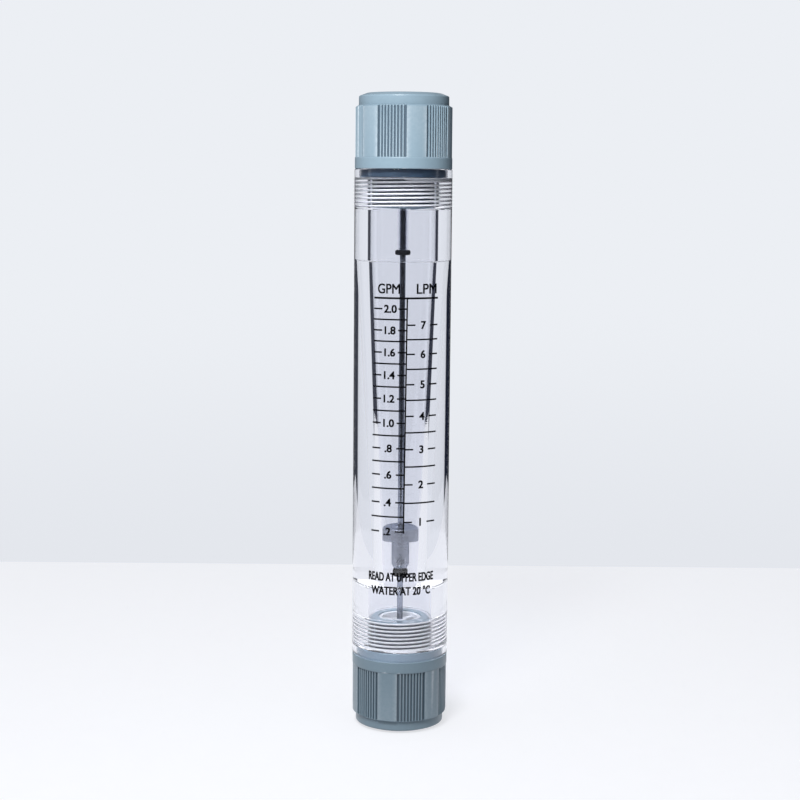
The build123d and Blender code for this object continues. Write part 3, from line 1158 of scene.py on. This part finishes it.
dress(clear_plastic("clear_acrylic", ACRYLIC_TINT, index=1.49, dull=0.02, line_strength=0.05, frost=0.85),
      "clear_tube")
dress(clear_plastic("clear_sleeve", SLEEVE_TINT, index=1.46, dull=0.01, line_strength=0.0, frost=0.0),
      "clear_rod_sleeve")

# %% [markdown]
# The fittings are moulded ABS in a blue grey, with a satin skin. Under the skin the pigment clouds a
# little, and the mould's spark-eroded grain gives a soft sheen. The rib tips and pad corners are lighter,
# both as rubbed plastic and as a painted highlight, and the hollows get painted shade. Inside the tube the
# plastic lies in shadow, and painted shade gives the spigot and the upper collar darker colours there.
# The white spiders are the same kind of plastic, cleaner and glossier.

# %% Moulded plastics
# Painted shade: the spigot inside the screwed length and the collar under the upper ring lie in shadow, so
# they get these darker colours.
SPIGOT_PAINTED_SHADE = linear(24, 34, 48)
COLLAR_PAINTED_SHADE = linear(62, 82, 100)


def moulded_plastic(name, colour, cloud, worn_and_highlit, hollow_shade_colour, clean, dull, wear_and_highlight, hollow_shade):
    """Moulded plastic with grain, clouded pigment, handling marks, rubbed edges that are also a painted
    highlight, and painted shade in hollows and inside the tube.
    """
    material, tree, shader = new_material(name)
    skin = use_group(tree, grain, {"Grains per metre": 5200.0, "Detail": 3.0})
    corners = use_group(tree, edge_wear_and_light, {"Amount": wear_and_highlight, "Hollow shade": hollow_shade, "Chips per metre": 900.0})
    places = use_group(tree, shaded_places)
    for mask, other in (
        (skin["Tone"], cloud),
        # painted shade inside the tube
        (places["Shaded spigot"], SPIGOT_PAINTED_SHADE),
        (places["Shaded collar"], COLLAR_PAINTED_SHADE),
        # painted shade in the hollows
        (corners["Shaded hollows"], hollow_shade_colour),
        # wear and painted highlight on the rubbed edges
        (corners["Rubbed and highlit"], worn_and_highlit),
    ):
        colour = two_tones(tree, mask, colour, other)
    set_inputs(tree, shader, {
        "Base Color": colour,
        "IOR": 1.52,
        "Roughness": handled(tree, patches_per_metre=80.0, clean=clean, dull=dull),
        "Normal": bumped(tree, skin["Height"], strength=0.25, depth=0.03 * MM),
    })
    return material


# The near-white edge colour is a painted highlight as well as wear, and the dark hollow colour is painted
# shade.
grey_abs = moulded_plastic(
    "grey_abs", colour=linear(132, 154, 168), cloud=linear(139, 161, 175), worn_and_highlit=linear(225, 234, 240),
    hollow_shade_colour=linear(52, 68, 84), clean=0.3, dull=0.4, wear_and_highlight=1.0, hollow_shade=0.75)
white_plastic = moulded_plastic(
    "white_holder", colour=linear(226, 229, 232), cloud=linear(236, 238, 240), worn_and_highlit=linear(246, 247, 248),
    hollow_shade_colour=linear(180, 184, 190), clean=0.25, dull=0.33, wear_and_highlight=0.2, hollow_shade=0.4)
dress(grey_abs, "lower_screwed_fitting", "upper_screwed_fitting")
dress(white_plastic, "lower_rod_holder", "upper_rod_holder")

# %% [markdown]
# Both metals are steel, but one is drawn through a die, so its lines run along it, and the other is
# turned, so its lines run round. The same group serves both: one input turns the lines. Rubber and ink
# are nearly black. Rubber is dull and grainy, and ink keeps a slight gloss with thin spots from the screen.

# %% Metals, rubber and ink
METAL_EDGE_TINT = (0.35, 0.38, 0.45, 1.0)


def tooled_metal(name, dark, light, clean, dull, lines_per_metre, along):
    """Bare metal with tool lines round it or along it."""
    material, tree, shader = new_material(name)
    lines = use_group(tree, tool_lines, {"Lines per metre": lines_per_metre, "Along axis": along})
    set_inputs(tree, shader, {
        "Base Color": two_tones(tree, lines["Tone"], dark, light),
        "Metallic": 1.0,
        "Specular Tint": METAL_EDGE_TINT,
        "Roughness": handled(tree, patches_per_metre=150.0, clean=clean, dull=dull),
        "Normal": bumped(tree, lines["Height"], strength=0.3),
    })
    return material


def dull_black(name, dark, light, clean, dull, grains_per_metre, strength):
    """Rubber or ink: near black with fine grain."""
    material, tree, shader = new_material(name)
    skin = use_group(tree, grain, {"Grains per metre": grains_per_metre, "Detail": 2.0})
    set_inputs(tree, shader, {
        "Base Color": two_tones(tree, skin["Tone"], dark, light),
        "Specular IOR Level": 0.08,
        "Roughness": handled(tree, patches_per_metre=200.0, clean=clean, dull=dull),
        "Normal": bumped(tree, skin["Height"], strength),
    })
    return material


rod_steel = tooled_metal(
    "rod_steel", dark=linear(146, 152, 165), light=linear(172, 178, 191), clean=0.14, dull=0.2,
    lines_per_metre=30000.0, along=1.0)
float_metal = tooled_metal(
    "float_metal", dark=linear(156, 160, 170), light=linear(176, 180, 188), clean=0.26, dull=0.34,
    lines_per_metre=7000.0, along=0.0)
rubber = dull_black(
    "black_rubber", dark=linear(8, 9, 13), light=linear(18, 20, 26), clean=0.65, dull=0.8,
    grains_per_metre=6000.0, strength=0.3)
ink = dull_black(
    "scale_ink", dark=linear(3, 3, 5), light=linear(12, 13, 17), clean=0.5, dull=0.6,
    grains_per_metre=9000.0, strength=0.15)
dress(rod_steel, "steel_rod")
dress(float_metal, "turned_float")
dress(rubber, "lower_rubber_seal", "upper_rubber_seal", "lower_rubber_stop", "upper_rubber_stop")
dress(ink, "printed_scale")

# %% [markdown]
# ## Table, world and lamps
#
# The meter stands on a pale table in front of a pale wall. The table's own colour is kept low, so that it
# throws little light on the object, and a glow that only the camera, metal and glass see makes it pale.
# The object's shadow still falls on it.

# %% Table
TABLE_HALF_WIDTH = 508.0
TABLE_FRONT = -330.0
TABLE_BACK = 284.0
TABLE_DROP = 0.05
TABLE_LIFT = 0.71
TABLE_DARK = linear(158, 159, 162)
TABLE_PALE = linear(164, 165, 168)
TABLE_GLOW = linear(250, 251, 255)

table_mesh = bpy.data.meshes.new("table")
table_corners = [(-TABLE_HALF_WIDTH, TABLE_FRONT), (TABLE_HALF_WIDTH, TABLE_FRONT),
                 (TABLE_HALF_WIDTH, TABLE_BACK), (-TABLE_HALF_WIDTH, TABLE_BACK)]
table_mesh.from_pydata([(x * MM, y * MM, -TABLE_DROP * MM) for x, y in table_corners], [], [(0, 1, 2, 3)])
table = placed("table", table_mesh)

table_paint, tree, shader = new_material("table_paint")
tone = use_group(tree, grain, {"Grains per metre": 900.0, "Detail": 3.0})["Tone"]
path = add_node(tree, "ShaderNodeLightPath")
looked_at = calculate(tree, "LESS_THAN", path.outputs["Diffuse Depth"], 0.5)
set_inputs(tree, shader, {
    "Base Color": two_tones(tree, tone, TABLE_DARK, TABLE_PALE),
    "Roughness": 0.8,
    "Specular IOR Level": 0.1,
    "Emission Color": TABLE_GLOW,
    "Emission Strength": product(tree, looked_at, TABLE_LIFT),
})
dress(table_paint, "table")

# %% [markdown]
# Clear plastic has no look of its own: it shows what stands round it. Photographers place dark cards at
# both sides, out of view, so that the edges of a clear tube are drawn as dark lines, and here the world
# does that. The node Light Path tells it which ray asks. Straight views show the pale wall, also across
# the open bore. Light that is mirrored by the bore's wall, or bent past it inside the solid wall, meets a
# dark card on each side, and mirrored light finds a dark room in front. What falls on painted surfaces is
# a third, quiet light, brighter from the upper left, so that the fittings keep their colour as written.

# %% World
WALL_FOOT = linear(228, 231, 237)
WALL_TOP = linear(236, 239, 244)
WALL_CHANGE = (-0.22, -0.06)
SIDE_GLOW = (1.05, 1.06, 1.1, 1.0)
CEILING_GLOW = (1.25, 1.26, 1.3, 1.0)
CEILING_CHANGE = (0.06, 0.2)
CARD_COLOUR = linear(14, 22, 44)
CARD_START = (52.0, 56.0)
CARD_END = (86.0, 82.0)
CARD_HEIGHT = (0.34, 0.24)
SIDE_CHANGE = (84.0, 88.0)
FRONT_COLOUR = linear(18, 20, 27)
FRONT_TO_BACK = (-0.1, 0.05)
FRONT_HEIGHT = (0.5, 0.25)
ROOM_COLOUR = (0.9, 0.94, 1.0, 1.0)
ROOM_DIM = 0.03
ROOM_BRIGHT = 0.4
ROOM_CHANGE = (-0.7, 0.9)
BRIGHT_SIDE = (-0.66, -0.3, 0.69)
FIRST_BOUNCE = 0.5
TWO_FACES = 2.5

world = bpy.data.worlds.new("studio")
scene.world = world
world.use_nodes = True
sky = world.node_tree
sky.nodes.clear()


def fade(value, limits):
    """A smooth change in the world's nodes, from 0 at the first limit to 1 at the second."""
    return ramp(sky, value, *limits, "SMOOTHSTEP")


outward = add_node(sky, "ShaderNodeTexCoord").outputs["Generated"]
across, depth, rise = add_node(sky, "ShaderNodeSeparateXYZ", {0: outward}).outputs
sides = [calculate(sky, "ABSOLUTE", value) for value in (across, depth)]
azimuth = calculate(sky, "DEGREES", calculate(sky, "ARCTAN2", *sides))
tilt = calculate(sky, "ABSOLUTE", rise)
path = add_node(sky, "ShaderNodeLightPath").outputs
mirrored = calculate(sky, "GREATER_THAN", path["Glossy Depth"], FIRST_BOUNCE)
past_the_bore = calculate(sky, "LESS_THAN", path["Transmission Depth"], TWO_FACES)
behind = fade(depth, FRONT_TO_BACK)
before = calculate(sky, "SUBTRACT", 1.0, behind)

wall = two_tones(sky, fade(rise, WALL_CHANGE), WALL_FOOT, WALL_TOP)
studio = two_tones(sky, fade(azimuth, SIDE_CHANGE), wall, SIDE_GLOW)
studio = two_tones(sky, fade(rise, CEILING_CHANGE), studio, CEILING_GLOW)
card = product(sky, fade(azimuth, CARD_START), fade(azimuth, CARD_END), fade(tilt, CARD_HEIGHT), behind,
               calculate(sky, "MAXIMUM", mirrored, past_the_bore))
studio = two_tones(sky, card, studio, CARD_COLOUR)
front = product(sky, before, fade(rise, FRONT_HEIGHT), mirrored)
studio = two_tones(sky, front, studio, FRONT_COLOUR)

straight = calculate(sky, "LESS_THAN", path["Diffuse Depth"], FIRST_BOUNCE)
through = product(sky, path["Is Transmission Ray"], straight)
seen = calculate(sky, "MAXIMUM", path["Is Camera Ray"], through)
colour = two_tones(sky, seen, ROOM_COLOUR, two_tones(sky, through, wall, studio))
towards = add_node(sky, "ShaderNodeVectorMath", {0: outward, 1: BRIGHT_SIDE}, operation="DOT_PRODUCT")
room = blend(sky, fade(towards.outputs["Value"], ROOM_CHANGE), ROOM_DIM, ROOM_BRIGHT)
strength = blend(sky, seen, room, 1.0)
background = add_node(sky, "ShaderNodeBackground", {"Color": colour, "Strength": strength})
add_node(sky, "ShaderNodeOutputWorld", {0: background.outputs[0]})
print("the world has", len(sky.nodes), "nodes")

# %% [markdown]
# A soft box high on the left, in front of the camera, is the main lamp. A spot with a soft beam adds light
# to the upper end alone, as the upper fitting is brighter than the lower one. It comes in nearly level, so
# that it also reaches the first turns of the thread under the ring, and it leaves no highlight of its own.

# %% Lamps
KEY_PLACE = (-0.12, -0.44, 0.62)
KEY_TARGET = (0, 0, 0.2)
KEY_SIZE = 0.18
KEY_POWER = 3.2
SPOT_PLACE = (-0.1, -0.42, 0.27)
SPOT_TARGET = (0, 0, 0.214)
SPOT_BEAM = 34.0
SPOT_RADIUS = 0.05
SPOT_POWER = 4.2


def aimed_lamp(name, kind, place, target, power, **settings):
    """A lamp that looks at a point. Lengths are in metres and power in watts."""
    data = bpy.data.lights.new(name, kind)
    data.energy = power
    for setting, value in settings.items():
        setattr(data, setting, value)
    lamp = placed(name, data)
    aim = (Vector(target) - Vector(place)).to_track_quat("-Z", "Y")
    lamp.matrix_world = Matrix.Translation(place) @ aim.to_matrix().to_4x4()
    print(name, "gives", power, "watts")
    return lamp


aimed_lamp("key_softbox", "AREA", KEY_PLACE, KEY_TARGET, KEY_POWER, shape="SQUARE", size=KEY_SIZE)
spot = aimed_lamp("upper_end_spot", "SPOT", SPOT_PLACE, SPOT_TARGET, SPOT_POWER,
                  spot_size=radians(SPOT_BEAM), spot_blend=1.0, shadow_soft_size=SPOT_RADIUS)
spot.visible_glossy = False
spot.visible_transmission = False

# %% [markdown]
# ## Render settings
#
# Light crosses many clear faces here: two walls of the tube, the thread's flanks and the sleeve. With
# Blender's usual twelve bounces those paths end early and turn black, so the limits go up.

# %% Render settings
scene.view_settings.view_transform = "Standard"
scene.cycles.max_bounces = 40
scene.cycles.transmission_bounces = 40
scene.cycles.glossy_bounces = 24
scene.cycles.transparent_max_bounces = 40
print("bounces", scene.cycles.max_bounces)
